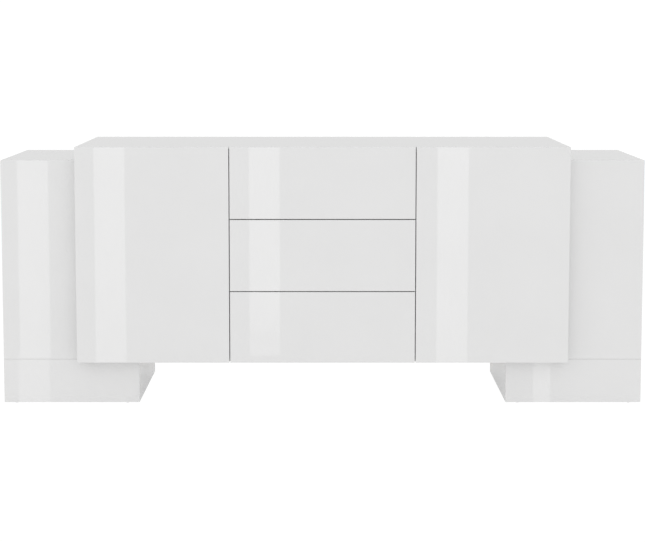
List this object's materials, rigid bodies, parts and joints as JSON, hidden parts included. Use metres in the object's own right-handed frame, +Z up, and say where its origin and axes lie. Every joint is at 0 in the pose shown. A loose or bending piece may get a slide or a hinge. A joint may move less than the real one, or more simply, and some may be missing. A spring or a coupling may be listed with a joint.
{
  "type": "sideboard buffet",
  "caption": "Long low sideboard: a raised middle cabinet with hinged doors and a drawer stack, flanked by lower set-back wing cupboards on two plinths, with handle-free fronts.",
  "frame": {"origin": "middle of the footprint, on the floor", "axes": "+X to the right seen from the front, the fronts face -Y, +Z up"},
  "size_m": [2.1, 0.43, 0.85],
  "materials": {
    "white_gloss_lacquer": "white high-gloss lacquer on board",
    "white_melamine": "satin white melamine-faced chipboard",
    "back_hardboard": "thin hardboard, white inside, brown behind",
    "zinc_steel": "zinc-plated steel",
    "grey_plastic": "moulded grey plastic",
    "white_plastic": "moulded white plastic"
  },
  "bodies": {
    "cabinet": {"center_top_panel": "white_gloss_lacquer", "center_bottom_panel": "white_melamine", "left_center_side_panel": "white_gloss_lacquer", "right_center_side_panel": "white_gloss_lacquer", "left_partition": "white_melamine", "right_partition": "white_melamine", "center_back_panels": "back_hardboard", "bay_shelves": "white_melamine", "left_wing_top_panel": "white_gloss_lacquer", "right_wing_top_panel": "white_gloss_lacquer", "left_wing_side_panel": "white_gloss_lacquer", "right_wing_side_panel": "white_gloss_lacquer", "wing_bottom_panels": "white_melamine", "wing_back_panels": "back_hardboard", "wing_shelves": "white_melamine", "left_plinth_front": "white_gloss_lacquer", "right_plinth_front": "white_gloss_lacquer", "left_plinth_inner_side": "white_gloss_lacquer", "right_plinth_inner_side": "white_gloss_lacquer", "plinth_outer_sides": "white_gloss_lacquer", "plinth_back_boards": "white_melamine", "plinth_glides": "grey_plastic", "plinth_brackets": "zinc_steel", "cam_locks": "zinc_steel", "shelf_pins": "zinc_steel", "hinge_arms": "zinc_steel", "slide_cabinet_members": "zinc_steel", "latch_housings": "grey_plastic", "wall_brackets": "zinc_steel"},
    "left_door": {"left_door": "white_gloss_lacquer", "left_door_hinge_cups": "zinc_steel"},
    "left_door_links": {"left_door_hinge_links": "zinc_steel"},
    "left_door_plunger": {"left_door_latch_plunger": "white_plastic"},
    "right_door": {"right_door": "white_gloss_lacquer", "right_door_hinge_cups": "zinc_steel"},
    "right_door_links": {"right_door_hinge_links": "zinc_steel"},
    "right_door_plunger": {"right_door_latch_plunger": "white_plastic"},
    "left_wing_door": {"left_wing_door": "white_gloss_lacquer", "left_wing_door_hinge_cups": "zinc_steel"},
    "left_wing_door_links": {"left_wing_door_hinge_links": "zinc_steel"},
    "left_wing_door_plunger": {"left_wing_door_latch_plunger": "white_plastic"},
    "right_wing_door": {"right_wing_door": "white_gloss_lacquer", "right_wing_door_hinge_cups": "zinc_steel"},
    "right_wing_door_links": {"right_wing_door_hinge_links": "zinc_steel"},
    "right_wing_door_plunger": {"right_wing_door_latch_plunger": "white_plastic"},
    "bottom_drawer": {"bottom_drawer_front": "white_gloss_lacquer", "bottom_drawer_walls": "white_melamine", "bottom_drawer_bottom": "white_melamine", "bottom_drawer_slide_drawer_members": "zinc_steel"},
    "bottom_drawer_slide_middle": {"bottom_drawer_slide_middle_members": "zinc_steel"},
    "middle_drawer": {"middle_drawer_front": "white_gloss_lacquer", "middle_drawer_walls": "white_melamine", "middle_drawer_bottom": "white_melamine", "middle_drawer_slide_drawer_members": "zinc_steel"},
    "middle_drawer_slide_middle": {"middle_drawer_slide_middle_members": "zinc_steel"},
    "top_drawer": {"top_drawer_front": "white_gloss_lacquer", "top_drawer_walls": "white_melamine", "top_drawer_bottom": "white_melamine", "top_drawer_slide_drawer_members": "zinc_steel"},
    "top_drawer_slide_middle": {"top_drawer_slide_middle_members": "zinc_steel"}
  },
  "joints": [
    {"name": "left_door_swing", "type": "hinge", "parent": "cabinet", "child": "left_door", "pos_m": [-0.79257, -0.2085, 0.4975], "axis": [0, 0, -1], "range_deg": [0, 95]},
    {"name": "left_door_links_turn", "type": "hinge", "parent": "cabinet", "child": "left_door_links", "pos_m": [-0.77157, -0.19146, 0.4975], "axis": [0, 0, 1], "range_deg": [0, 25]},
    {"name": "left_door_plunger_push", "type": "slide", "parent": "cabinet", "child": "left_door_plunger", "axis": [0, -1, 0], "range_m": [0, 0.02]},
    {"name": "right_door_swing", "type": "hinge", "parent": "cabinet", "child": "right_door", "pos_m": [0.79257, -0.2085, 0.4975], "axis": [0, 0, 1], "range_deg": [0, 95]},
    {"name": "right_door_links_turn", "type": "hinge", "parent": "cabinet", "child": "right_door_links", "pos_m": [0.77157, -0.19146, 0.4975], "axis": [0, 0, -1], "range_deg": [0, 25]},
    {"name": "right_door_plunger_push", "type": "slide", "parent": "cabinet", "child": "right_door_plunger", "axis": [0, -1, 0], "range_m": [0, 0.02]},
    {"name": "left_wing_door_swing", "type": "hinge", "parent": "cabinet", "child": "left_wing_door", "pos_m": [-1.04257, -0.1635, 0.4742], "axis": [0, 0, -1], "range_deg": [0, 95]},
    {"name": "left_wing_door_links_turn", "type": "hinge", "parent": "cabinet", "child": "left_wing_door_links", "pos_m": [-1.02157, -0.14646, 0.4742], "axis": [0, 0, 1], "range_deg": [0, 25]},
    {"name": "left_wing_door_plunger_push", "type": "slide", "parent": "cabinet", "child": "left_wing_door_plunger", "axis": [0, -1, 0], "range_m": [0, 0.02]},
    {"name": "right_wing_door_swing", "type": "hinge", "parent": "cabinet", "child": "right_wing_door", "pos_m": [1.04257, -0.1635, 0.4742], "axis": [0, 0, 1], "range_deg": [0, 95]},
    {"name": "right_wing_door_links_turn", "type": "hinge", "parent": "cabinet", "child": "right_wing_door_links", "pos_m": [1.02157, -0.14646, 0.4742], "axis": [0, 0, -1], "range_deg": [0, 25]},
    {"name": "right_wing_door_plunger_push", "type": "slide", "parent": "cabinet", "child": "right_wing_door_plunger", "axis": [0, -1, 0], "range_m": [0, 0.02]},
    {"name": "bottom_drawer_slide", "type": "slide", "parent": "cabinet", "child": "bottom_drawer", "axis": [0, -1, 0], "range_m": [0, 0.35]},
    {"name": "bottom_drawer_slide_middle_travel", "type": "slide", "parent": "cabinet", "child": "bottom_drawer_slide_middle", "axis": [0, -1, 0], "range_m": [0, 0.175]},
    {"name": "middle_drawer_slide", "type": "slide", "parent": "cabinet", "child": "middle_drawer", "axis": [0, -1, 0], "range_m": [0, 0.35]},
    {"name": "middle_drawer_slide_middle_travel", "type": "slide", "parent": "cabinet", "child": "middle_drawer_slide_middle", "axis": [0, -1, 0], "range_m": [0, 0.175]},
    {"name": "top_drawer_slide", "type": "slide", "parent": "cabinet", "child": "top_drawer", "axis": [0, -1, 0], "range_m": [0, 0.35]},
    {"name": "top_drawer_slide_middle_travel", "type": "slide", "parent": "cabinet", "child": "top_drawer_slide_middle", "axis": [0, -1, 0], "range_m": [0, 0.175]}
  ],
  "couplings": [
    {"joint": "left_door_links_turn", "follows": "left_door_swing", "ratio": 0.26},
    {"joint": "left_door_plunger_push", "follows": "left_door_swing", "m_per_rad": 0.01206},
    {"joint": "right_door_links_turn", "follows": "right_door_swing", "ratio": 0.26},
    {"joint": "right_door_plunger_push", "follows": "right_door_swing", "m_per_rad": 0.01206},
    {"joint": "left_wing_door_links_turn", "follows": "left_wing_door_swing", "ratio": 0.26},
    {"joint": "left_wing_door_plunger_push", "follows": "left_wing_door_swing", "m_per_rad": 0.01206},
    {"joint": "right_wing_door_links_turn", "follows": "right_wing_door_swing", "ratio": 0.26},
    {"joint": "right_wing_door_plunger_push", "follows": "right_wing_door_swing", "m_per_rad": 0.01206},
    {"joint": "bottom_drawer_slide_middle_travel", "follows": "bottom_drawer_slide", "ratio": 0.5},
    {"joint": "middle_drawer_slide_middle_travel", "follows": "middle_drawer_slide", "ratio": 0.5},
    {"joint": "top_drawer_slide_middle_travel", "follows": "top_drawer_slide", "ratio": 0.5}
  ]
}
